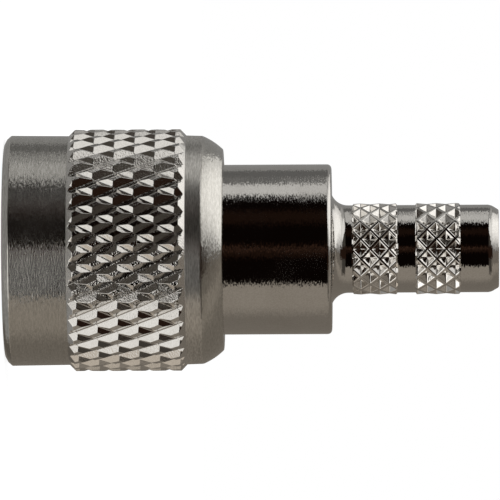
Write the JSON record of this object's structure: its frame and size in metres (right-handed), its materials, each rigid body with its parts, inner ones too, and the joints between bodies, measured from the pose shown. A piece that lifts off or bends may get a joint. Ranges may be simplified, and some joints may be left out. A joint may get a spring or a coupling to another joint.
{
  "type": "mini-uhf crimp plug",
  "caption": "Mini-UHF coaxial crimp plug: knurled threaded coupling nut turning on a turned metal shell with a knurled crimp stem and a centre contact pin.",
  "frame": {"origin": "centre of the coupling nut's flat mating face, on the connector's axis", "axes": "+Z along the axis from the mating face to the cable end"},
  "size_m": [0.011, 0.011, 0.0227],
  "materials": {
    "body_nickel": "bright nickel plate on turned brass",
    "nut_nickel": "satin nickel plate on turned and knurled brass",
    "ring_bronze": "plain spring bronze",
    "insulator_white": "waxy white fluoropolymer",
    "contact_gold": "gold plate on turned brass"
  },
  "bodies": {
    "shell": {"body": "body_nickel", "insulator": "insulator_white", "centre_pin": "contact_gold"},
    "ring": {"snap_ring": "ring_bronze"},
    "nut": {"coupling_nut": "nut_nickel"}
  },
  "joints": [
    {"name": "nut_float", "type": "slide", "parent": "shell", "child": "ring", "axis": [0, 0, -1], "range_m": [0, 0.00035]},
    {"name": "nut_spin", "type": "hinge", "parent": "ring", "child": "nut", "pos_m": [0, 0, 0.00505], "axis": [0, 0, 1], "continuous": true}
  ]
}
